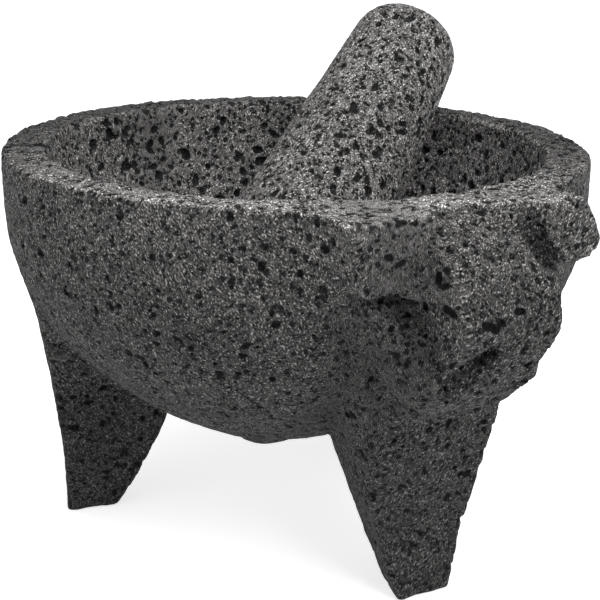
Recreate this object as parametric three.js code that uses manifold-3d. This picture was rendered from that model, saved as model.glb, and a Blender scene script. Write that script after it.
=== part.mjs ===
// A molcajete: a mortar carved from one block of vesicular basalt, with three legs and an animal
// head under the rim, and the loose pestle (tejolote) that leans in its bowl.
// Millimetres, +Z up. The head faces -Y. While it is built, the bowl's axis is the Z axis and the
// feet stand on z = 0; the last step moves the origin to the bottom centre of the whole set.

import * as THREE from 'three';
import { mergeVertices } from 'three/addons/utils/BufferGeometryUtils.js';
import Module from 'manifold-3d';

const wasm = await Module();
wasm.setup();

// Bowl.
const RIM_RADIUS = 107;
const RIM_HEIGHT = 147.5;
const RIM_WALL = 16;
const RIM_BEVEL = 1.5;
const WALL_TOP_HEIGHT = 128;
const KEEL_HEIGHT = 23.5;
const KEEL_RADIUS = 20;
const KEEL_RISE = 10.5;
// Points of (radius, height) that bend the bowl's outside, and then its hollow.
const OUTSIDE_BENDS = [83, 62, 107, 92];
const HOLLOW_BEND_RADIUS = 62;
const HOLLOW_BEND_HEIGHT = 108;
const CAVITY_DEPTH = 85.5;
const CAVITY_CUT_ABOVE = 10;
const BOWL_SEGMENTS = 80;

// Legs. Each one tapers from the bowl down to a nearly square foot.
const FRONT_FOOT_REACH = 87.5;
const REAR_FOOT_REACH = 91.5;
const FOOT_THICKNESS = 18;
const FOOT_WIDTH = 20;
const FOOT_TRIM = 4;
const FOOT_UPRIGHT_HEIGHT = 25;
const LEG_SPREAD = 14;
const LEG_SPREAD_HEIGHT = 50;
const LEG_TOP_HEIGHT = 127;
const LEG_TOP_WIDTH = 76;
const LEG_TOP_INSET = 7;
const LEG_DEPTH_INWARD = 60;
const LEG_DEPTH_OUTWARD = 30;
const LEG_SIDE_TURN = THREE.MathUtils.degToRad(12);
const REAR_LEG_AZIMUTH = THREE.MathUtils.degToRad(112);
const REAR_LEG_INSET = 0.5;
const FRONT_LEG_LEAN = THREE.MathUtils.degToRad(5);
const LEAN_PIVOT_HEIGHT = 110;
const CHEST_HEIGHT = 112;
// Points of (reach, height): the bend of a leg's outside, and its inside from the bowl to the foot.
const LEG_OUTSIDE_BEND = [95, 70];
const REAR_LEG_BEND = [93, 66];
const LEG_INSIDE = [[60, 127], [40, 90], [44, 55]];
const LEG_INSIDE_BEND = [57, 18];

// Head. An outline is a list of points, and four numbers are a bend and then a point.
const EAR_FRONT = 117;
const EAR_LENGTH = 34;
const LEFT_EAR = [[-13, 147.5], [-44, 147.5], [-36.5, 125], [-13, 128]];
const RIGHT_EAR = [[19, 147.5], [36, 130], [45, 129], [47.5, 134.5], [41, 147.5]];
const HEAD_PROFILE = [
  [80, 147.5],
  [105, 147.5],
  [122, 141, 130, 122],
  [134, 116, 130, 109],
  [126, 101],
  [120, 90, 104, 79],
  [80, 66],
];
const HEAD_FRONT = [
  [-15, 147.5],
  [-17, 130],
  [-33, 124],
  [-27, 100, -13, 78],
  [17, 79],
  [20, 89],
  [22, 95],
  [21, 101],
  [24, 110],
  [35.5, 124],
  [19, 130],
  [16, 138],
  [17, 147.5],
];
const HEAD_PLAN = [
  [-33, -80],
  [-33, -105],
  [-18, -129],
  [-15, -134, -5, -134],
  [14, -134],
  [23, -134, 24.5, -129],
  [36, -109],
  [36, -80],
];
const HEAD_BACK_REACH = 70;
const HEAD_BLOCK_REACH = 143;
const HEAD_BLOCK_WIDTH = 80;
const HEAD_BLOCK_HEIGHT = 100;

// Face: the slots of the mouth and nostril, and the pit of the eye.
const MOUTH = { size: [19, 14, 6], place: [-4, -131, 104], tilt: THREE.MathUtils.degToRad(37) };
const NOSTRIL = { size: [7, 8, 2.4], place: [-3, -132, 117.7], tilt: THREE.MathUtils.degToRad(-30) };
const EYE = { radius: 1.8, place: [-15.5, -118, 131], depth: 12 };
const EYE_SEGMENTS = 12;

// Pestle. It leans on the rim's inner edge, with its thick end down in the bowl.
const PESTLE_LENGTH = 160;
const PESTLE_TOP_RADIUS = 22.5;
const PESTLE_FOOT_RADIUS = 31;
const PESTLE_FOOT_ROUNDING = 26;
const PESTLE_TOP_ROUNDING = 14;
// Points of (radius, distance from the end) that bend the two ends.
const PESTLE_FOOT_BENDS = [[20, 0], [31, 8]];
const PESTLE_TOP_BENDS = [[22.5, 4], [14, 0]];
const PESTLE_TILT = THREE.MathUtils.degToRad(50);
const PESTLE_AZIMUTH = THREE.MathUtils.degToRad(121.7);
const PESTLE_CONTACT = 135.2;
const PESTLE_SEGMENTS = 40;
const CLEARANCE = 0.4;

const CURVE_STEPS = 9;
const MERGE_DISTANCE = 1e-4;
const MORTAR_COLOUR = 0x4c4b4b;
const PESTLE_COLOUR = 0x686766;
const BASALT = { roughness: 0.95, metalness: 0 };

/** Makes a manifold solid of a closed geometry. */
function solid(geometry) {
  const bare = geometry.clone();
  bare.deleteAttribute('normal');
  bare.deleteAttribute('uv');
  const merged = mergeVertices(bare, MERGE_DISTANCE);
  const mesh = new wasm.Mesh({
    numProp: 3,
    vertProperties: new Float32Array(merged.attributes.position.array),
    triVerts: new Uint32Array(merged.index.array),
  });
  return new wasm.Manifold(mesh);
}

/** Turns a solid back into a geometry. */
function geometryOf(body) {
  const mesh = body.getMesh();
  const geometry = new THREE.BufferGeometry();
  geometry.setAttribute('position', new THREE.BufferAttribute(mesh.vertProperties, 3));
  geometry.setIndex(new THREE.BufferAttribute(mesh.triVerts, 1));
  geometry.computeVertexNormals();
  return geometry;
}

/** Joins all the solids of a list into one. */
function joined(bodies) {
  return bodies.reduce((whole, body) => whole.add(body));
}

/** The closed shape of an outline. */
function shapeOf(outline) {
  const shape = new THREE.Shape();
  shape.moveTo(...outline[0]);
  for (const step of outline.slice(1)) {
    if (step.length === 2) {
      shape.lineTo(...step);
    } else {
      shape.quadraticCurveTo(...step);
    }
  }
  return shape;
}

/** Revolves a path of (radius, height) points about the Z axis. */
function revolved(path, segments) {
  const lathe = new THREE.LatheGeometry(path.getPoints(CURVE_STEPS), segments);
  return lathe.rotateX(Math.PI / 2);
}

/** Extrudes an outline by a thickness, centred on the plane that the outline lies in. */
function slab(outline, thickness) {
  const options = { depth: thickness, bevelEnabled: false, curveSegments: CURVE_STEPS };
  return new THREE.ExtrudeGeometry(shapeOf(outline), options).translate(0, 0, -thickness / 2);
}

/** A slab whose outline is (reach towards -Y, height), with its thickness across X. */
function sideSlab(outline, width) {
  const basis = new THREE.Matrix4().makeBasis(
    new THREE.Vector3(0, -1, 0),
    new THREE.Vector3(0, 0, 1),
    new THREE.Vector3(-1, 0, 0),
  );
  return slab(outline, width).applyMatrix4(basis);
}

/** A slab whose outline is (x, height), running from one reach towards -Y to another. */
function frontSlab(outline, fromReach, toReach) {
  const basis = new THREE.Matrix4().makeBasis(
    new THREE.Vector3(1, 0, 0),
    new THREE.Vector3(0, 0, 1),
    new THREE.Vector3(0, -1, 0),
  );
  const geometry = slab(outline, toReach - fromReach).applyMatrix4(basis);
  return geometry.translate(0, -(fromReach + toReach) / 2, 0);
}

/** The bowl's outside: a shallow cone below, sweeping round into an upright wall. */
function bowlPath() {
  const keelTop = KEEL_HEIGHT + KEEL_RISE;
  const path = new THREE.Path();
  path.moveTo(0, KEEL_HEIGHT);
  path.quadraticCurveTo(KEEL_RADIUS / 2, KEEL_HEIGHT + 1, KEEL_RADIUS, keelTop);
  path.bezierCurveTo(...OUTSIDE_BENDS, RIM_RADIUS, WALL_TOP_HEIGHT);
  path.lineTo(RIM_RADIUS, RIM_HEIGHT - RIM_BEVEL);
  path.lineTo(RIM_RADIUS - RIM_BEVEL, RIM_HEIGHT);
  path.lineTo(0, RIM_HEIGHT);
  return path;
}

/** The hollow of the bowl, open above the rim, with a bevel at the rim's inner edge. */
function cavityPath() {
  const radius = RIM_RADIUS - RIM_WALL;
  const floor = RIM_HEIGHT - CAVITY_DEPTH;
  const lip = radius + RIM_BEVEL;
  const path = new THREE.Path();
  path.moveTo(0, floor);
  const bends = [HOLLOW_BEND_RADIUS, floor, radius, HOLLOW_BEND_HEIGHT];
  path.bezierCurveTo(...bends, radius, RIM_HEIGHT - RIM_BEVEL);
  path.lineTo(lip, RIM_HEIGHT);
  path.lineTo(lip, RIM_HEIGHT + CAVITY_CUT_ABOVE);
  path.lineTo(0, RIM_HEIGHT + CAVITY_CUT_ABOVE);
  return path;
}

/** A leg from the side: upright at the foot, and flush with the bowl wall at the top. */
function legSide(reach) {
  const inner = reach - FOOT_THICKNESS;
  return [
    [inner, -FOOT_TRIM],
    [reach, -FOOT_TRIM],
    [reach, FOOT_UPRIGHT_HEIGHT],
    [...LEG_OUTSIDE_BEND, RIM_RADIUS, CHEST_HEIGHT],
    [RIM_RADIUS - LEG_TOP_INSET, LEG_TOP_HEIGHT],
    ...LEG_INSIDE,
    [...LEG_INSIDE_BEND, inner, -FOOT_TRIM],
  ];
}

/** A leg from the front: its sides spread from the foot up to the bowl. */
function legFront() {
  const foot = FOOT_WIDTH / 2;
  const top = LEG_TOP_WIDTH / 2;
  return [
    [-foot, -FOOT_TRIM],
    [foot, -FOOT_TRIM],
    [foot + LEG_SPREAD, LEG_SPREAD_HEIGHT, top, LEG_TOP_HEIGHT],
    [-top, LEG_TOP_HEIGHT],
    [-foot - LEG_SPREAD, LEG_SPREAD_HEIGHT, -foot, -FOOT_TRIM],
  ];
}

/** One leg, towards -Y. Its two sides turn in, so that it narrows towards the bowl's axis. */
function leg(reach) {
  const side = solid(sideSlab(legSide(reach), LEG_TOP_WIDTH * 2));
  const spread = [-LEG_SIDE_TURN, LEG_SIDE_TURN].map((turn) => {
    const front = frontSlab(legFront(), -LEG_DEPTH_INWARD, LEG_DEPTH_OUTWARD);
    front.rotateZ(turn);
    front.translate(0, -reach, 0);
    return solid(front);
  });
  return side.intersect(spread[0]).intersect(spread[1]);
}

/** The leg under the head leans a little to one side. */
function frontLeg() {
  const lean = new THREE.Matrix4().makeTranslation(0, 0, LEAN_PIVOT_HEIGHT);
  lean.multiply(new THREE.Matrix4().makeRotationY(-FRONT_LEG_LEAN));
  lean.multiply(new THREE.Matrix4().makeTranslation(0, 0, -LEAN_PIVOT_HEIGHT));
  return leg(FRONT_FOOT_REACH).transform(lean.elements);
}

/** The round outside of the rear legs, just within the bowl wall at the top. */
function rearLegPath() {
  const path = new THREE.Path();
  path.moveTo(0, -FOOT_TRIM);
  path.lineTo(REAR_FOOT_REACH, -FOOT_TRIM);
  path.lineTo(REAR_FOOT_REACH, FOOT_UPRIGHT_HEIGHT);
  path.quadraticCurveTo(...REAR_LEG_BEND, RIM_RADIUS - REAR_LEG_INSET, LEG_TOP_HEIGHT);
  path.lineTo(0, LEG_TOP_HEIGHT);
  return path;
}

/** A rear leg, rounded outside and turned to its place about the bowl's axis. */
function rearLeg(azimuth) {
  const turn = new THREE.Matrix4().makeRotationZ(azimuth);
  const outside = solid(revolved(rearLegPath(), BOWL_SEGMENTS));
  return leg(REAR_FOOT_REACH).transform(turn.elements).intersect(outside);
}

/** Forehead, nose and jaw in one block: what the head's three outlines share. */
function muzzle() {
  const side = solid(sideSlab(HEAD_PROFILE, HEAD_BLOCK_WIDTH));
  const front = solid(frontSlab(HEAD_FRONT, HEAD_BACK_REACH, HEAD_BLOCK_REACH));
  const plan = slab(HEAD_PLAN, HEAD_BLOCK_HEIGHT).translate(0, 0, RIM_HEIGHT - HEAD_BLOCK_HEIGHT / 2);
  return side.intersect(front).intersect(solid(plan));
}

/** An ear, level with the rim, whose front face has the outline. */
function ear(outline) {
  return solid(frontSlab(outline, EAR_FRONT - EAR_LENGTH, EAR_FRONT));
}

/** A slot across the front of the face, turned from the level. */
function slot({ size, place, tilt }) {
  return solid(new THREE.BoxGeometry(...size).rotateY(-tilt).translate(...place));
}

/** The round pit of the eye, which runs in along Y. */
function eye({ radius, place, depth }) {
  const hole = new THREE.CylinderGeometry(radius, radius, depth, EYE_SEGMENTS);
  return solid(hole.translate(...place));
}

/** A block under the floor, which cuts all three feet level. */
function belowFloor() {
  const span = 4 * RIM_RADIUS;
  const depth = 10 * FOOT_TRIM;
  return solid(new THREE.BoxGeometry(span, span, depth).translate(0, 0, -depth / 2));
}

/** The whole mortar: bowl, legs and head in one carved block. */
function mortarGeometry() {
  const block = joined([
    solid(revolved(bowlPath(), BOWL_SEGMENTS)),
    frontLeg(),
    rearLeg(-REAR_LEG_AZIMUTH),
    rearLeg(REAR_LEG_AZIMUTH),
    ear(LEFT_EAR),
    ear(RIGHT_EAR),
    muzzle(),
  ]);
  const cuts = joined([
    solid(revolved(cavityPath(), BOWL_SEGMENTS)),
    slot(MOUTH),
    slot(NOSTRIL),
    eye(EYE),
    belowFloor(),
  ]);
  return geometryOf(block.subtract(cuts));
}

/** The pestle along +Z from its grinding end at z = 0: a tapered bar with two rounded ends. */
function pestleGeometry() {
  const path = new THREE.Path();
  const topBends = PESTLE_TOP_BENDS.map(([radius, below]) => [radius, PESTLE_LENGTH - below]);
  path.moveTo(0, 0);
  path.bezierCurveTo(...PESTLE_FOOT_BENDS.flat(), PESTLE_FOOT_RADIUS, PESTLE_FOOT_ROUNDING);
  path.lineTo(PESTLE_TOP_RADIUS, PESTLE_LENGTH - PESTLE_TOP_ROUNDING);
  path.bezierCurveTo(...topBends.flat(), 0, PESTLE_LENGTH);
  return revolved(path, PESTLE_SEGMENTS);
}

/** The pestle's radius at a distance from its grinding end, on its straight stretch. */
function pestleRadius(distance) {
  const straight = PESTLE_LENGTH - PESTLE_FOOT_ROUNDING - PESTLE_TOP_ROUNDING;
  const share = (distance - PESTLE_FOOT_ROUNDING) / straight;
  return THREE.MathUtils.lerp(PESTLE_FOOT_RADIUS, PESTLE_TOP_RADIUS, share);
}

/** Leans the pestle on the top of the rim's inner bevel, which its underside just clears. */
function placePestle(mesh) {
  const up = new THREE.Vector3(0, -Math.sin(PESTLE_TILT), Math.cos(PESTLE_TILT));
  const under = new THREE.Vector3(0, -Math.cos(PESTLE_TILT), -Math.sin(PESTLE_TILT));
  mesh.position.set(0, -(RIM_RADIUS - RIM_WALL + RIM_BEVEL), RIM_HEIGHT);
  mesh.position.addScaledVector(under, -(pestleRadius(PESTLE_CONTACT) + CLEARANCE));
  mesh.position.addScaledVector(up, -PESTLE_CONTACT);
  mesh.rotation.x = PESTLE_TILT;
  const lean = new THREE.Group();
  lean.rotation.z = PESTLE_AZIMUTH;
  lean.add(mesh);
  return lean;
}

const mortar = new THREE.Mesh(
  mortarGeometry(),
  new THREE.MeshStandardMaterial({ color: MORTAR_COLOUR, ...BASALT }),
);
mortar.name = 'mortar';

const pestle = new THREE.Mesh(
  pestleGeometry(),
  new THREE.MeshStandardMaterial({ color: PESTLE_COLOUR, ...BASALT }),
);
pestle.name = 'pestle';

const molcajete = new THREE.Group();
molcajete.add(mortar, placePestle(pestle));
molcajete.updateMatrixWorld(true);
const box = new THREE.Box3().setFromObject(molcajete, true);
const centre = box.getCenter(new THREE.Vector3());
molcajete.position.set(-centre.x, -centre.y, -box.min.z);

export default molcajete;
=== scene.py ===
"""A molcajete in vesicular basalt: a three-legged mortar with an animal head, and its loose pestle.

Each stone is carved as a distance field on a grid, in millimetres and negative inside the stone,
then meshed. The mortar's field has its bowl's axis at x = y = 0 and its feet on z = 0.
"""

import math

import bpy
import numpy as np
import openvdb
from mathutils import Matrix, Vector


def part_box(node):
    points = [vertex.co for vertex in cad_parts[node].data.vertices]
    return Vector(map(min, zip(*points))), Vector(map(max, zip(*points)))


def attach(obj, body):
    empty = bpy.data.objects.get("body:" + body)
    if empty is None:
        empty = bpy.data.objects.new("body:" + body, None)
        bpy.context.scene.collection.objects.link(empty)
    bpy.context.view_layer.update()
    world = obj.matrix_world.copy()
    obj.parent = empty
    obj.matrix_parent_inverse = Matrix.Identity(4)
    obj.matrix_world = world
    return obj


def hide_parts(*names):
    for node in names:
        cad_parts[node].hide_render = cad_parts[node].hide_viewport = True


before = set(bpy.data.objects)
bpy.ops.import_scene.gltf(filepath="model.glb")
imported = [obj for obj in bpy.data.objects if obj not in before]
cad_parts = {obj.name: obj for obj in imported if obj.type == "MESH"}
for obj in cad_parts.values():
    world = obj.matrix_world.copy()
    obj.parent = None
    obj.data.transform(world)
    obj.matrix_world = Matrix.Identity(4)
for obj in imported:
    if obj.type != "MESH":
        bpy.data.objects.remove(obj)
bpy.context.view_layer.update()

MM = 0.001

# Bowl, as the CAD has it.
RIM_RADIUS = 107.0
RIM_HEIGHT = 147.5
RIM_WALL = 16.0
RIM_BEVEL = 1.8
INNER_BEVEL = 1.5
KEEL_HEIGHT = 23.5
CAVITY_FLOOR = 62.0
KEEL_SHIFT = (-11.0, 5.0)
KEEL_SHIFT_START = 95.0

# Legs.
FRONT_FOOT_REACH = 87.0
REAR_FOOT_REACH = 91.2
LEG_TOP_HEIGHT = 127.0
REAR_LEG_AZIMUTH = math.radians(112.0)
FRONT_LEG_LEAN = math.tan(math.radians(5.0))
LEAN_PIVOT_HEIGHT = 110.0
LEG_SIDE_TURN = math.radians(12.0)

# Pestle. Places along it are measured from its lower end, and its foot is where it is widest.
PESTLE_LENGTH = 160.0
PESTLE_TOP_RADIUS = 22.5
PESTLE_FOOT_RADIUS = 31.0
PESTLE_FOOT_HEIGHT = 26.0
PESTLE_TAPER_LENGTH = 120.0
PESTLE_TILT = math.radians(50.0)
PESTLE_AZIMUTH = math.radians(121.7)
# Where it leans on the rim, and how far it stays clear of it.
PESTLE_CONTACT = 135.2
PESTLE_GAP = 0.4

# Brightness of the hollow, lifted well above the outside's by painted light, how open the outside's
# holes are beside the hollow's, and the direction towards the camera, in which the rim's painted
# sheen is brightest.
BOWL_TONE_WITH_PAINTED_LIGHT = 3.05
OUTSIDE_OPENNESS = 0.91
PAINTED_SHEEN_SIDE = (-0.454, -0.891)

# The stone's faint warm tint, how light its crystal specks are beside plain stone, which stand for
# light grains and for painted glints, how much light the painted shade leaves in its holes, and the
# depth of its fine relief in metres.
TINT = {"Red": 1.025, "Green": 0.997, "Blue": 0.98}
CRYSTAL_AND_GLINT_LIGHT = 4.0
PAINTED_HOLE_SHADE = 0.12
RELIEF = 0.0008

# Radius above which a pit has more than one lobe.
LOBED_PIT = 1.1

# Spacing of the grids that the two stones are carved on.
MORTAR_STEP = 0.75
PESTLE_STEP = 0.5


# ---------------------------------------------------------------- fields

class Grid:
    """A block of sample points at an even step, with one broadcastable array for each axis."""

    def __init__(self, low, high, step):
        self.low = np.array(low, np.float32)
        self.step = step
        self.shape = tuple(int(math.ceil((h - l) / step)) + 1 for l, h in zip(low, high))
        axes = [l + step * np.arange(n, dtype=np.float32) for l, n in zip(low, self.shape)]
        self.x = axes[0][:, None, None]
        self.y = axes[1][None, :, None]
        self.z = axes[2][None, None, :]

    def noise(self, cell, seed):
        """Smooth random values from about -1 to 1, which change over the given distance."""
        counts = [max(2, int(n * self.step / cell) + 3) for n in self.shape]
        lattice = np.random.default_rng(seed).uniform(-1, 1, counts).astype(np.float32)
        spreads = []
        for count, size in zip(counts, self.shape):
            place = np.arange(size) * self.step / cell
            index = np.minimum(place.astype(int), count - 2)
            share = place - index
            share = share * share * (3 - 2 * share)
            spread = np.zeros((size, count), np.float32)
            spread[np.arange(size), index] = 1 - share
            spread[np.arange(size), index + 1] += share
            spreads.append(spread)
        value = np.tensordot(spreads[0], lattice, (1, 0))
        value = np.einsum("ajk,bj->abk", value, spreads[1])
        return np.einsum("abk,ck->abc", value, spreads[2])

    def sample(self, field, points):
        """The field at points, by linear interpolation."""
        place = (points - self.low) / self.step
        place = np.clip(place, 0, np.array(self.shape) - 1.001)
        index = place.astype(int)
        share = place - index
        value = 0
        for corner in np.ndindex(2, 2, 2):
            weight = np.prod(np.where(corner, share, 1 - share), axis=1)
            i, j, k = (index + corner).T
            value = value + weight * field[i, j, k]
        return value


def union(a, b, blend):
    """Joins two fields, with a fillet about as wide as blend."""
    overlap = np.maximum(blend - np.abs(a - b), 0)
    return np.minimum(a, b) - overlap * overlap / (4 * blend)


def common(a, b, blend):
    """What two fields share, with its new edges rounded by blend."""
    return -union(-a, -b, blend)


def curve(*controls, steps=10):
    """Points along a Bezier curve, from its first control point to its last."""
    share = np.linspace(0, 1, steps)[:, None]
    points = [np.array(c, float)[None, :] for c in controls]
    while len(points) > 1:
        points = [a + (b - a) * share for a, b in zip(points, points[1:])]
    return [tuple(p) for p in points[0]]


def outline_distance(u, v, corners):
    """Signed distance to a closed outline in two of the coordinates, negative inside it."""
    u, v = np.broadcast_arrays(u, v)
    nearest = np.full(u.shape, np.inf)
    inside = np.zeros(u.shape, bool)
    for (au, av), (bu, bv) in zip(corners, corners[1:] + corners[:1]):
        du, dv = bu - au, bv - av
        length = du * du + dv * dv
        if length == 0:
            continue
        share = np.clip(((u - au) * du + (v - av) * dv) / length, 0, 1)
        nearest = np.minimum(nearest, (u - au - du * share) ** 2 + (v - av - dv * share) ** 2)
        if dv != 0:
            inside ^= ((av > v) != (bv > v)) & (u < au + (v - av) * du / dv)
    return (np.where(inside, -1, 1) * np.sqrt(nearest)).astype(np.float32)


def between(value, low, high):
    """A slab: negative between two values."""
    return np.maximum(low - value, value - high)


# ---------------------------------------------------------------- bowl

def revolved(grid, corners, shift=lambda height: (0.0, 0.0)):
    """The field of an outline of (radius, height) turned about the axis, which shift may move aside."""
    radii = np.arange(0, 190, 0.5)
    heights = grid.z.ravel()
    table = outline_distance(radii[:, None], heights[None, :], corners)
    field = np.empty(grid.shape, np.float32)
    for layer, height in enumerate(heights):
        across, along = shift(height)
        radius = np.hypot(grid.x[:, :, 0] - across, grid.y[:, :, 0] - along)
        field[:, :, layer] = np.interp(radius, radii, table[:, layer])
    return field


def keel_shift(height):
    """The lowest point of the underside isn't under the middle of the bowl."""
    share = np.clip((KEEL_SHIFT_START - height) / (KEEL_SHIFT_START - KEEL_HEIGHT), 0, 1)
    share = share * share
    return KEEL_SHIFT[0] * share, KEEL_SHIFT[1] * share


def bowl(grid):
    """The bowl's outside: a shallow cone below, sweeping round into an upright wall."""
    corners = [(-40, KEEL_HEIGHT)]
    corners += curve((0, KEEL_HEIGHT), (7, KEEL_HEIGHT + 0.5), (20, 34))
    wall = RIM_RADIUS - 0.1
    corners += curve((20, 34), (83, 62), (107, 92), (wall, 128), steps=24)
    corners += [(wall, RIM_HEIGHT - RIM_BEVEL), (RIM_RADIUS - RIM_BEVEL, RIM_HEIGHT)]
    corners += [(-40, RIM_HEIGHT)]
    return revolved(grid, corners, keel_shift)


def cavity(grid):
    """The hollow of the bowl, open above the rim."""
    radius = RIM_RADIUS - RIM_WALL
    corners = [(-40, CAVITY_FLOOR)]
    bevel_foot = (radius, RIM_HEIGHT - INNER_BEVEL)
    corners += curve((0, CAVITY_FLOOR), (62, CAVITY_FLOOR), (radius, 108), bevel_foot, steps=24)
    radius += INNER_BEVEL
    corners += [(radius, RIM_HEIGHT), (radius, RIM_HEIGHT + 20), (-40, RIM_HEIGHT + 20)]
    return revolved(grid, corners)


# ---------------------------------------------------------------- legs

def follow(place, points):
    """A value that changes with a height or a place, along straight lines between (value, place) points."""
    values, places = zip(*points)
    return np.interp(place, places, values).astype(np.float32)


def leg(grid, azimuth, reach_at_foot, lean, flush):
    """One leg, which tapers from the bowl to its foot. Azimuth 0 faces -Y."""
    height = grid.z
    x = grid.x - lean * (LEAN_PIVOT_HEIGHT - height)
    reach = x * math.sin(azimuth) - grid.y * math.cos(azimuth)
    side = x * math.cos(azimuth) + grid.y * math.sin(azimuth)
    top = RIM_RADIUS - flush
    width = follow(height, curve((9.6, -4), (24, 50), (38, LEG_TOP_HEIGHT), steps=20))
    outside = [(reach_at_foot, -4)] + curve((reach_at_foot, 25), (95, 70), (top, 112))
    outside += [(top - 6, LEG_TOP_HEIGHT)]
    inside = curve((reach_at_foot - 18, -4), (57, 18), (44, 55)) + [(40, 90), (60, LEG_TOP_HEIGHT)]
    back = (follow(height, inside) - reach) * 0.85
    depth = common(reach - follow(height, outside), back, 3)
    taper = np.abs(reach - reach_at_foot) * math.sin(LEG_SIDE_TURN)
    sides = np.abs(side) * math.cos(LEG_SIDE_TURN) + taper - width
    return common(common(sides, depth, 2), height - LEG_TOP_HEIGHT, 6)


def rear_leg(grid, side):
    """A rear leg, whose outside is rounded with the bowl."""
    field = leg(grid, side * REAR_LEG_AZIMUTH, REAR_FOOT_REACH, 0, 1.0)
    outside = [(REAR_FOOT_REACH, -4)]
    outside += curve((REAR_FOOT_REACH, 25), (93, 66), (RIM_RADIUS - 1.5, LEG_TOP_HEIGHT))
    return common(field, np.hypot(grid.x, grid.y) - follow(grid.z, outside), 4)


# ---------------------------------------------------------------- head

def left_ear(grid):
    """A block whose outer side slopes in below the rim's level."""
    corners = [(-13, 151), (-45, 151), (-43.5, 147), (-36, 123), (-13, 128)]
    return common(outline_distance(grid.x, grid.z, corners), between(grid.y, -117, -80), 1.6)


def right_ear(grid):
    """The right ear droops outward from the rim's level to a blunt tip."""
    corners = [(17, 151), (19, 147), (32, 126.5), (44.5, 128.3), (47.2, 134), (41, 147), (40, 151)]
    return common(outline_distance(grid.x, grid.z, corners), between(grid.y, -117, -80), 1.6)


def ear_root(grid):
    """Stone set back between the forehead and the right ear."""
    corners = [(10, 151), (10, 124), (34, 128), (34, 151)]
    return common(outline_distance(grid.x, grid.z, corners), between(grid.y, -111, -80), 2)


def muzzle(grid):
    """Forehead, blunt nose and jaw in one block."""
    profile = [(-80, 148), (-105, 148)] + curve((-105, 147), (-122, 141), (-130, 122))
    profile += curve((-130, 122), (-134, 116), (-130, 109)) + [(-126, 101)]
    profile += curve((-126, 101), (-121, 87), (-104, 77)) + [(-80, 65)]
    front = [(-15, 151), (-15, 147), (-17, 130), (-33, 124)] + curve((-33, 124), (-27, 100), (-13, 78))
    front += [(17, 79), (20, 89), (22, 95), (21, 101), (23.5, 110), (35, 124), (19, 130), (16, 138)]
    front += [(17, 147), (17, 151)]
    plan = [(-33, -80), (-33, -105), (-18, -129)] + curve((-18, -129), (-15, -134), (-5, -134))
    plan += curve((13, -134), (22.5, -134), (23.5, -129)) + [(35.5, -109), (35.5, -80)]
    sides = common(outline_distance(grid.y, grid.z, profile), outline_distance(grid.x, grid.z, front), 2.5)
    return common(sides, outline_distance(grid.x, grid.y, plan), 2.5)


def lower_lip(grid):
    """A ridge that climbs across the jaw, below the mouth."""
    return capsule(grid, (-9, -119, 95), (20, -118, 105), 5.5)


def cheek_hollow(grid):
    """The face sinks back under the left ear, and comes forward again towards the mouth."""
    depth = (107 + grid.y) * 0.8 + (126 - grid.z) * 0.6
    sides = np.maximum(between(grid.x, -60, -16.5), between(grid.z, 92, 123.5))
    return common(depth, sides, 2)


def turned(u, v, angle):
    """Coordinates along and across a direction in a plane."""
    return u * math.cos(angle) + v * math.sin(angle), v * math.cos(angle) - u * math.sin(angle)


def mouth(grid):
    """A short slot across the front of the jaw, which climbs to the right."""
    middle = (-5, -129, 103)
    half_size = (8.6, 8, 2.7)
    along, across = turned(grid.x - middle[0], grid.z - middle[2], math.radians(38))
    field = np.maximum(np.abs(along) - half_size[0], np.abs(across) - half_size[2])
    return common(field, np.abs(grid.y - middle[1]) - half_size[1], 2)


def capsule(grid, start, end, radius):
    """A rounded bar between two points."""
    axis = np.subtract(end, start)
    x, y, z = grid.x - start[0], grid.y - start[1], grid.z - start[2]
    share = np.clip((x * axis[0] + y * axis[1] + z * axis[2]) / (axis @ axis), 0, 1)
    x, y, z = x - share * axis[0], y - share * axis[1], z - share * axis[2]
    return np.sqrt(x ** 2 + y ** 2 + z ** 2) - radius


def head(grid, block):
    """Adds the head to the block, then cuts the face into it."""
    face = union(muzzle(grid), lower_lip(grid), 2)
    face = union(face, union(right_ear(grid), ear_root(grid), 5), 4)
    block = union(block, face, 3)
    block = union(block, left_ear(grid), follow(grid.x, [(11, -36), (1.5, -31)]))
    block = common(block, -cheek_hollow(grid), 3)
    return common(block, -mouth(grid), 4)


# ---------------------------------------------------------------- carving and pits

def mortar_field(grid):
    """The whole mortar, before its pits."""
    fillet = follow(grid.z, [(5, 60), (3, 110)])
    block = bowl(grid)
    block = union(block, leg(grid, 0, FRONT_FOOT_REACH, FRONT_LEG_LEAN, 0.0), fillet * 0.3)
    block = union(block, rear_leg(grid, -1), fillet)
    block = union(block, rear_leg(grid, 1), fillet)
    block = head(grid, block)
    block = common(block, grid.z - RIM_HEIGHT - 0.2, 1)
    block = common(block, -cavity(grid), 2)
    block = common(block, -grid.z, 1)
    block += 0.3 + 0.25 * grid.noise(30, 1) + 0.22 * grid.noise(9, 2)
    block += 0.14 * grid.noise(3.5, 3) + 0.16 * grid.noise(1.9, 4)
    chips = np.maximum(grid.noise(5, 5) + 0.5 * grid.noise(2.2, 6), 0)
    block += 0.8 * chips * np.clip((grid.z - RIM_HEIGHT + 6) / 5, 0, 1)
    return np.maximum(block, -grid.z)


def pestle_field(grid):
    """The pestle along Z from its grinding end: a tapered bar with two rounded ends."""
    foot, top = PESTLE_FOOT_RADIUS, PESTLE_LENGTH
    corners = [(-40, 0)] + curve((0, 0), (20, 0), (foot, 8), (foot, PESTLE_FOOT_HEIGHT))
    corners += curve((PESTLE_TOP_RADIUS, 145), (22.3, 154), (13, top), (0, top)) + [(-40, top)]
    field = revolved(grid, corners)
    field += 0.1 + 0.2 * grid.noise(24, 11) + 0.15 * grid.noise(8, 12) + 0.12 * grid.noise(1.6, 13)
    return field


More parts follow.
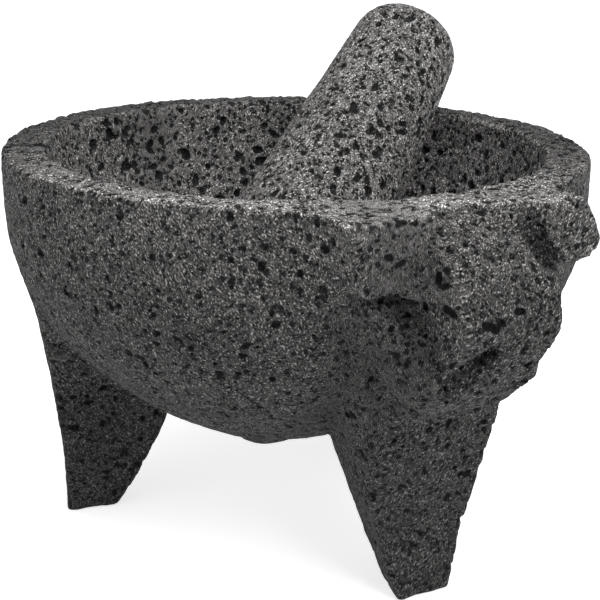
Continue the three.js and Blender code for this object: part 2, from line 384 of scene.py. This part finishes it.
def pit(grid, field, middle, radii, axis):
    """Cuts one pit, a ball stretched along an axis in the surface."""
    reach = max(radii) + 2 * grid.step
    first = np.maximum(((middle - reach - grid.low) / grid.step).astype(int), 0)
    last = np.minimum(((middle + reach - grid.low) / grid.step).astype(int) + 2, grid.shape)
    i, j, k = (slice(a, b) for a, b in zip(first, last))
    x = grid.x[i] - middle[0]
    y = grid.y[:, j] - middle[1]
    z = grid.z[:, :, k] - middle[2]
    along = x * axis[0] + y * axis[1] + z * axis[2]
    across = np.sqrt(np.maximum(x * x + y * y + z * z - along * along, 0))
    hollow = (1 - np.hypot(along / radii[0], across / radii[1])) * radii[1]
    field[i, j, k] = np.maximum(field[i, j, k], hollow)


def face_pits(grid, field):
    """The nostril, a slanting pit, and the eye, a round one at the corner of the brow."""
    pit(grid, field, np.array((-3.1, -130.9, 117.0)), (3.4, 1.3), (0.87, 0.0, -0.49))
    pit(grid, field, np.array((-15.9, -121.6, 130.8)), (2.0, 1.7), (0.0, 0.0, 1.0))


def cut_pits(grid, base, field, density, count, smallest, largest, rarity, seed):
    """Cuts pits at random places, thicker where the density is high, and with fewer large than small."""
    random = np.random.default_rng(seed)
    places = np.argwhere(np.abs(base) < 0.6 * grid.step)
    spots = grid.low + grid.step * places
    chance = density(spots)
    chosen = random.choice(len(places), count, replace=False, p=chance / chance.sum())
    sizes = smallest * (largest / smallest) ** (random.random(count) ** rarity)
    for place, spot, size in zip(places[chosen], spots[chosen], sizes):
        before = np.maximum(place - 1, 0)
        after = np.minimum(place + 1, np.array(grid.shape) - 1)
        slope = np.array([
            base[after[0], place[1], place[2]] - base[before[0], place[1], place[2]],
            base[place[0], after[1], place[2]] - base[place[0], before[1], place[2]],
            base[place[0], place[1], after[2]] - base[place[0], place[1], before[2]],
        ])
        normal = slope / max(np.linalg.norm(slope), 1e-6)
        middle = spot - normal * size * random.uniform(0.0, 0.35)
        lobes = 1 + (size > LOBED_PIT) * random.integers(1, 3)
        for _ in range(lobes):
            axis = np.cross(normal, random.normal(size=3))
            axis /= max(np.linalg.norm(axis), 1e-6)
            stretch = random.uniform(1.0, 1.4)
            pit(grid, field, middle, (size * stretch, size), axis)
            middle = middle + axis * size * 0.8
            size = size * random.uniform(0.55, 0.85)


# ---------------------------------------------------------------- meshes

def largest_part(points, quads):
    """Drops crumbs of stone that the pits have cut free."""
    label = np.arange(len(points))
    edges = np.concatenate([quads[:, [0, 1]], quads[:, [1, 2]], quads[:, [2, 3]], quads[:, [3, 0]]])
    while True:
        lowest = np.minimum(label[edges[:, 0]], label[edges[:, 1]])
        new = label.copy()
        np.minimum.at(new, edges[:, 0], lowest)
        np.minimum.at(new, edges[:, 1], lowest)
        new = new[new]
        new = new[new]
        if np.array_equal(new, label):
            break
        label = new
    kept = label == np.bincount(label).argmax()
    number = np.cumsum(kept) - 1
    return points[kept], number[quads[kept[quads[:, 0]]]]


def stone(name, grid, base, field, place):
    """Meshes a field, moves it to its place in metres, and stores how deep each point lies in a pit."""
    level_set = openvdb.FloatGrid(3 * grid.step)
    level_set.copyFromArray(np.ascontiguousarray(field))
    points, quads = level_set.convertToQuads(0.0)
    points, quads = largest_part(points * grid.step + grid.low, quads.astype(np.int64))
    depth = np.maximum(-grid.sample(base, points), 0)
    mesh = bpy.data.meshes.new(name)
    mesh.from_pydata(points * MM, [], quads)
    mesh.shade_smooth()
    mesh.transform(place)
    piece = bpy.data.objects.new(name, mesh)
    store(piece, "pit_depth", depth)
    bpy.context.scene.collection.objects.link(piece)
    return piece


def points_of(piece):
    """The mesh's points, one to a row."""
    points = np.empty(len(piece.data.vertices) * 3, np.float32)
    piece.data.vertices.foreach_get("co", points)
    return points.reshape(-1, 3)


def store(piece, name, values):
    """Keeps one number for each point of the mesh, for the material to read."""
    made = piece.data.attributes.new(name, "FLOAT", "POINT")
    made.data.foreach_set("value", np.asarray(values, np.float32))


def in_bowl(spots):
    """True on the surface of the hollow, and false elsewhere."""
    radius = np.hypot(spots[:, 0], spots[:, 1])
    height = spots[:, 2]
    near = radius < np.interp(height, [CAVITY_FLOOR - 3, 75, 100, 125, 145], [20, 60, 82, 92, 95])
    return near & (height > CAVITY_FLOOR - 3)


def everywhere(spots):
    """The same density all over."""
    return np.ones(len(spots))


def outside_density(spots):
    """Outside, pits are thickest on the rim and the head, and sparse on the upper wall."""
    heights = [3, 6, 60, 90, 120, 144, 147]
    density = np.interp(spots[:, 2], heights, [0.0, 0.9, 0.9, 0.8, 0.6, 0.6, 2.0])
    density *= 1 + 0.6 * np.clip((-106 - spots[:, 1]) / 8, 0, 1)
    return np.where(in_bowl(spots), 0.0, density)


def outside_painted_light_and_shade(points):
    """Outside, the stone is darkest on the legs, the rear ones most, in painted shade, and lightest on the
    brow in painted light.
    """
    heights = [0, 55, 90, 105, 125, RIM_HEIGHT]
    # Painted light and shade: darker towards the floor, lighter towards the rim, and lightest on the brow.
    wall = np.interp(points[:, 2], heights, [0.56, 0.62, 0.74, 0.80, 1.06, 1.35])
    brow = np.interp(points[:, 2], heights, [0.56, 0.62, 0.74, 0.80, 1.15, 1.85])
    tone_and_painted_light = wall + (brow - wall) * np.clip((-100 - points[:, 1]) / 12, 0, 1)
    # Painted shade on the rear legs, low down under the bowl.
    rear = np.clip((points[:, 1] + 40) / 60, 0, 1) * np.clip((70 - points[:, 2]) / 30, 0, 1)
    return tone_and_painted_light * (1 - 0.28 * rear)


def rim_tone_and_painted_sheen(points):
    """The rim's top gets a painted sheen: bright in front, towards the camera, and duller at the back."""
    # Painted sheen: the rim brightens the nearer it lies to the camera's side.
    front = (PAINTED_SHEEN_SIDE[0] * points[:, 0] + PAINTED_SHEEN_SIDE[1] * points[:, 1]) / RIM_RADIUS
    return np.interp(front, [-1, 0, 0.3, 0.6, 1], [1.5, 1.45, 2.0, 3.7, 5.0])


def mortar_piece():
    """Makes the mortar, and tells where its bowl's axis lies in the frame."""
    axis_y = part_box("mortar")[1].y / MM - RIM_RADIUS
    grid = Grid((-110, -137, -2), (110, 110, 150), MORTAR_STEP)
    base = mortar_field(grid)
    field = base.copy()
    face_pits(grid, field)
    cut_pits(grid, base, field, in_bowl, count=2600, smallest=0.75, largest=2.1, rarity=4, seed=21)
    cut_pits(grid, base, field, outside_density, count=9000, smallest=0.66, largest=1.25, rarity=4, seed=22)
    piece = stone("mortar_stone", grid, base, field, Matrix.Translation((0, axis_y * MM, 0)))
    points = points_of(piece) / MM - (0, axis_y, 0)
    bowl_share = np.clip((5 - grid.sample(cavity(grid), points)) / 2, 0, 1)
    rim_share = np.clip((points[:, 2] - RIM_HEIGHT + 1.6) / 0.8, 0, 1)
    # Painted light and shade go into the stone's tone here: painted shade low on the outside, painted light
    # on the brow and in the hollow, and a painted sheen on the rim.
    tone_and_painted_light = outside_painted_light_and_shade(points)
    tone_and_painted_light += (BOWL_TONE_WITH_PAINTED_LIGHT - tone_and_painted_light) * bowl_share
    store(piece, "tone_and_painted_light", tone_and_painted_light + (rim_tone_and_painted_sheen(points) - tone_and_painted_light) * rim_share)
    worn_share = np.maximum(bowl_share, rim_share * 0.8)
    store(piece, "openness", OUTSIDE_OPENNESS + (1 - OUTSIDE_OPENNESS) * worn_share)
    return piece, axis_y * MM


def pestle_place(axis_y):
    """Leans the pestle as the CAD does, on the rim's inner bevel."""
    share = (PESTLE_CONTACT - PESTLE_FOOT_HEIGHT) / PESTLE_TAPER_LENGTH
    radius = PESTLE_FOOT_RADIUS + (PESTLE_TOP_RADIUS - PESTLE_FOOT_RADIUS) * share
    up = Vector((0, -math.sin(PESTLE_TILT), math.cos(PESTLE_TILT)))
    under = Vector((0, -math.cos(PESTLE_TILT), -math.sin(PESTLE_TILT)))
    rim = Vector((0, -(RIM_RADIUS - RIM_WALL + INNER_BEVEL), RIM_HEIGHT))
    foot = rim - under * (radius + PESTLE_GAP) - up * PESTLE_CONTACT
    turn = Matrix.Rotation(PESTLE_AZIMUTH, 4, "Z")
    lean = Matrix.Translation(foot * MM) @ Matrix.Rotation(PESTLE_TILT, 4, "X")
    return Matrix.Translation((0, axis_y, 0)) @ turn @ lean


def pestle_piece(axis_y):
    """Makes the pestle, leaning in the bowl."""
    grid = Grid((-33, -33, -2), (33, 33, 162), PESTLE_STEP)
    base = pestle_field(grid)
    field = base.copy()
    cut_pits(grid, base, field, everywhere, count=3600, smallest=0.5, largest=1.5, rarity=3, seed=31)
    piece = stone("pestle_stone", grid, base, field, pestle_place(axis_y))
    count = len(piece.data.vertices)
    store(piece, "tone_and_painted_light", np.ones(count))
    store(piece, "openness", np.ones(count))
    return piece


# ---------------------------------------------------------------- materials

class Nodes:
    """Builds a material's nodes. A link is a socket, and anything else is a plain value."""

    def __init__(self, name):
        self.material = bpy.data.materials.new(name)
        self.material.use_nodes = True
        self.tree = self.material.node_tree
        self.tree.nodes.clear()

    def put(self, kind, inputs, **settings):
        """Adds a node with its settings, and links or sets its inputs."""
        made = self.tree.nodes.new(kind)
        for key, value in settings.items():
            setattr(made, key, value)
        for key, value in inputs.items():
            if isinstance(value, bpy.types.NodeSocket):
                self.tree.links.new(value, made.inputs[key])
            else:
                made.inputs[key].default_value = value
        return made

    def math(self, operation, a, b):
        """One arithmetic step on two numbers."""
        return self.put("ShaderNodeMath", {0: a, 1: b}, operation=operation).outputs[0]

    def vector_math(self, operation, a, b):
        """One arithmetic step on two vectors."""
        return self.put("ShaderNodeVectorMath", {0: a, 1: b}, operation=operation).outputs[0]

    def scaled(self, vector, factor):
        """A vector times a factor for each axis."""
        return self.vector_math("MULTIPLY", vector, factor)

    def attribute(self, name):
        """One of the numbers stored at the mesh's points."""
        return self.put("ShaderNodeAttribute", {}, attribute_name=name).outputs["Fac"]

    def spread(self, value, low, high, to_low=0.0, to_high=1.0):
        """Takes low and high smoothly to two new values, and holds them beyond."""
        inputs = {"Value": value, "From Min": low, "From Max": high, "To Min": to_low, "To Max": to_high}
        return self.put("ShaderNodeMapRange", inputs, interpolation_type="SMOOTHSTEP").outputs[0]

    def noise(self, vector, size, detail, roughness):
        """Cloudy values from 0 to 1, with patches about as large as size."""
        inputs = {"Vector": vector, "Scale": 1 / size, "Detail": detail, "Roughness": roughness}
        return self.put("ShaderNodeTexNoise", inputs).outputs[0]

    def hatched(self, mm):
        """Coordinates stretched along the marks of the chisel, which slope one way on each side."""
        across = self.put("ShaderNodeSeparateXYZ", {"Vector": mm}).outputs["X"]
        angle = self.spread(across, -40.0, -10.0, 0.6, -0.6)
        turned = self.put("ShaderNodeVectorRotate", {"Vector": mm, "Angle": angle}, rotation_type="Y_AXIS")
        return self.scaled(turned.outputs[0], (1.5, 1.4, 0.85))

    def holes(self, vector, cell, largest, rarity, openness):
        """Round holes of mixed sizes: 1 in the middle of a hole and 0 outside it."""
        made = self.put("ShaderNodeTexVoronoi", {"Vector": vector, "Scale": 1 / cell})
        size = self.put("ShaderNodeSeparateColor", {"Color": made.outputs["Color"]}).outputs[0]
        size = self.math("MULTIPLY", self.math("POWER", size, rarity), openness)
        radius = self.math("MULTIPLY", size, largest / cell)
        return self.spread(self.math("SUBTRACT", made.outputs["Distance"], radius), 0.06, -0.14)


def bent(n, mm):
    """Coordinates pushed about a little, so that no hole is perfectly round."""
    warp = n.put("ShaderNodeTexNoise", {"Vector": mm, "Scale": 0.9, "Detail": 1.0}).outputs["Color"]
    warp = n.vector_math("SUBTRACT", warp, (0.5, 0.5, 0.5))
    return n.vector_math("ADD", mm, n.scaled(warp, (1.8, 1.8, 1.8)))


def small_holes(n, mm, pit_cell, openness):
    """Fine holes and coarser ones, too small to be cut into the mesh."""
    place = bent(n, mm)
    fine = n.holes(place, 1.25, 0.62, 1.6, openness)
    coarse = n.holes(place, pit_cell, pit_cell * 0.5, 0.6, n.math("POWER", openness, 2.0))
    return n.math("MAXIMUM", fine, coarse)


def lightness(n, mm, hatched, grain, openness):
    """How light the solid stone is: grain, mottling, streaks, clouding, and bright crystals with painted
    glints.
    """
    mottle = n.noise(mm, 2.2, 3.0, 0.65)
    streaks = n.noise(n.scaled(hatched, (1.0, 1.0, 0.3)), 1.6, 2.0, 0.6)
    cloud = n.noise(mm, 25.0, 2.0, 0.5)
    # Bright specks: light crystal grains, with painted glints standing in for sparkle.
    crystals_and_glints = n.spread(n.noise(hatched, 0.75, 1.0, 0.4), 0.6, 0.73)
    contrast = n.spread(openness, OUTSIDE_OPENNESS, 1.0, 0.9, 0.6)
    light = n.math("MULTIPLY", n.spread(grain, 0.34, 0.66, -1.0, 1.1), contrast)
    light = n.math("ADD", light, 1.0)
    for pattern, least, most in ((mottle, 0.6, 1.4), (streaks, 0.85, 1.15), (cloud, 0.9, 1.1)):
        light = n.math("MULTIPLY", light, n.spread(pattern, 0.3, 0.7, least, most))
    return n.math("ADD", light, n.math("MULTIPLY", crystals_and_glints, CRYSTAL_AND_GLINT_LIGHT))


def basalt(name, tone_and_painted_light, pit_cell):
    """Grey basalt: mottled grain, bright crystals with painted glints, and small holes and pits, both
    darkened by painted shade. Sizes are in millimetres.
    """
    n = Nodes(name)
    metres = n.put("ShaderNodeTexCoord", {}).outputs["Object"]
    mm = n.scaled(metres, (1 / MM, 1 / MM, 1 / MM))
    openness = n.attribute("openness")
    hole = small_holes(n, mm, pit_cell, openness)
    # Painted shade: the colour goes dark where the small holes are, and where the mesh's pits are deep.
    painted_hole_shade = n.math("MAXIMUM", hole, n.spread(n.attribute("pit_depth"), 0.1, 1.0))

    hatched = n.hatched(mm)
    grain = n.noise(hatched, 0.75, 3.0, 0.7)
    light = lightness(n, mm, hatched, grain, openness)
    # Painted shade: in the holes and pits the stone keeps only a little of its lightness.
    light = n.math("MULTIPLY", light, n.spread(painted_hole_shade, 0.0, 1.0, 1.0, PAINTED_HOLE_SHADE))
    # The stored tone carries painted light and shade as well as the stone's own tone.
    level = n.math("MULTIPLY", n.math("MULTIPLY", light, n.attribute("tone_and_painted_light")), tone_and_painted_light)
    channels = {key: n.math("MULTIPLY", level, share) for key, share in TINT.items()}
    colour = n.put("ShaderNodeCombineColor", channels).outputs[0]

    relief = n.math("SUBTRACT", n.math("MULTIPLY", grain, 0.5), hole)
    bump = n.put("ShaderNodeBump", {"Height": relief, "Strength": 1.0, "Distance": RELIEF}).outputs[0]
    shader = n.put("ShaderNodeBsdfPrincipled", {
        "Base Color": colour, "Roughness": 0.92, "Specular IOR Level": 0.2, "Normal": bump,
    })
    n.put("ShaderNodeOutputMaterial", {"Surface": shader.outputs[0]})
    return n.material


# ---------------------------------------------------------------- studio

def camera(axis_y):
    """A camera a little above the rim, in front and to the left of the head."""
    azimuth = math.radians(-27.0)
    elevation = math.radians(18.75)
    roll = math.radians(1.0)
    distance = 0.44625
    target = Vector((0.0021, -0.0011 + axis_y, 0.0843))
    away = Vector((
        math.sin(azimuth) * math.cos(elevation),
        -math.cos(azimuth) * math.cos(elevation),
        math.sin(elevation),
    ))
    data = bpy.data.cameras.new("camera")
    data.sensor_width = 36.0
    data.lens = 68.94
    data.clip_start = 0.01
    made = bpy.data.objects.new("camera", data)
    turn = (-away).to_track_quat("-Z", "Y").to_matrix().to_4x4()
    made.matrix_world = Matrix.Translation(target + away * distance) @ turn @ Matrix.Rotation(roll, 4, "Z")
    bpy.context.scene.collection.objects.link(made)
    bpy.context.scene.camera = made


def lamp(name, place, target, size, power):
    """A round soft lamp that faces a target. Size is its width, and power is in watts."""
    data = bpy.data.lights.new(name, "AREA")
    data.shape = "DISK"
    data.size = size
    data.energy = power
    made = bpy.data.objects.new(name, data)
    place = Vector(place)
    turn = (Vector(target) - place).to_track_quat("-Z", "Y").to_matrix().to_4x4()
    made.matrix_world = Matrix.Translation(place) @ turn
    bpy.context.scene.collection.objects.link(made)


def floor():
    """A wide sheet of white paper that glows a little, so that it fades into the background."""
    mesh = bpy.data.meshes.new("floor")
    half = 6.0
    corners = [(-half, -half, 0), (half, -half, 0), (half, half, 0), (-half, half, 0)]
    mesh.from_pydata(corners, [], [(0, 1, 2, 3)])
    made = bpy.data.objects.new("floor", mesh)
    bpy.context.scene.collection.objects.link(made)
    n = Nodes("floor_paper")
    shader = n.put("ShaderNodeBsdfPrincipled", {
        "Base Color": (0.86, 0.86, 0.86, 1.0), "Roughness": 1.0, "Specular IOR Level": 0.0,
        "Emission Color": (1.0, 1.0, 1.0, 1.0), "Emission Strength": 0.68,
    })
    n.put("ShaderNodeOutputMaterial", {"Surface": shader.outputs[0]})
    made.data.materials.append(n.material)


def studio():
    """A white room with four soft lamps over a pale floor."""
    world = bpy.data.worlds.new("world")
    world.use_nodes = True
    background = world.node_tree.nodes["Background"]
    background.inputs["Color"].default_value = (1.0, 1.0, 1.0, 1.0)
    background.inputs["Strength"].default_value = 0.5
    bpy.context.scene.world = world
    bpy.context.scene.view_settings.view_transform = "Standard"
    lamp("top_softbox", (0.0, 0.0, 1.3), (0, 0, 0.1), 0.9, 5.0)
    lamp("key_softbox", (0.05, -0.75, 0.9), (0, 0, 0.1), 0.5, 5.5)
    lamp("left_softbox", (-1.3, -0.3, 0.8), (0, 0, 0.08), 0.9, 1.5)
    lamp("right_softbox", (1.2, -0.5, 0.8), (0, 0, 0.08), 0.8, 0.3)
    floor()


mortar, axis_y = mortar_piece()
pestle = pestle_piece(axis_y)
mortar.data.materials.append(basalt("mortar_basalt", 0.0488, 2.5))
# Painted light: the pestle's stone is set more than three times lighter than the mortar's, for the top
# light on it.
pestle.data.materials.append(basalt("pestle_basalt", 0.167, 2.0))
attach(mortar, "mortar_body")
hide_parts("mortar")
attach(pestle, "pestle_body")
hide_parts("pestle")
camera(axis_y)
studio()
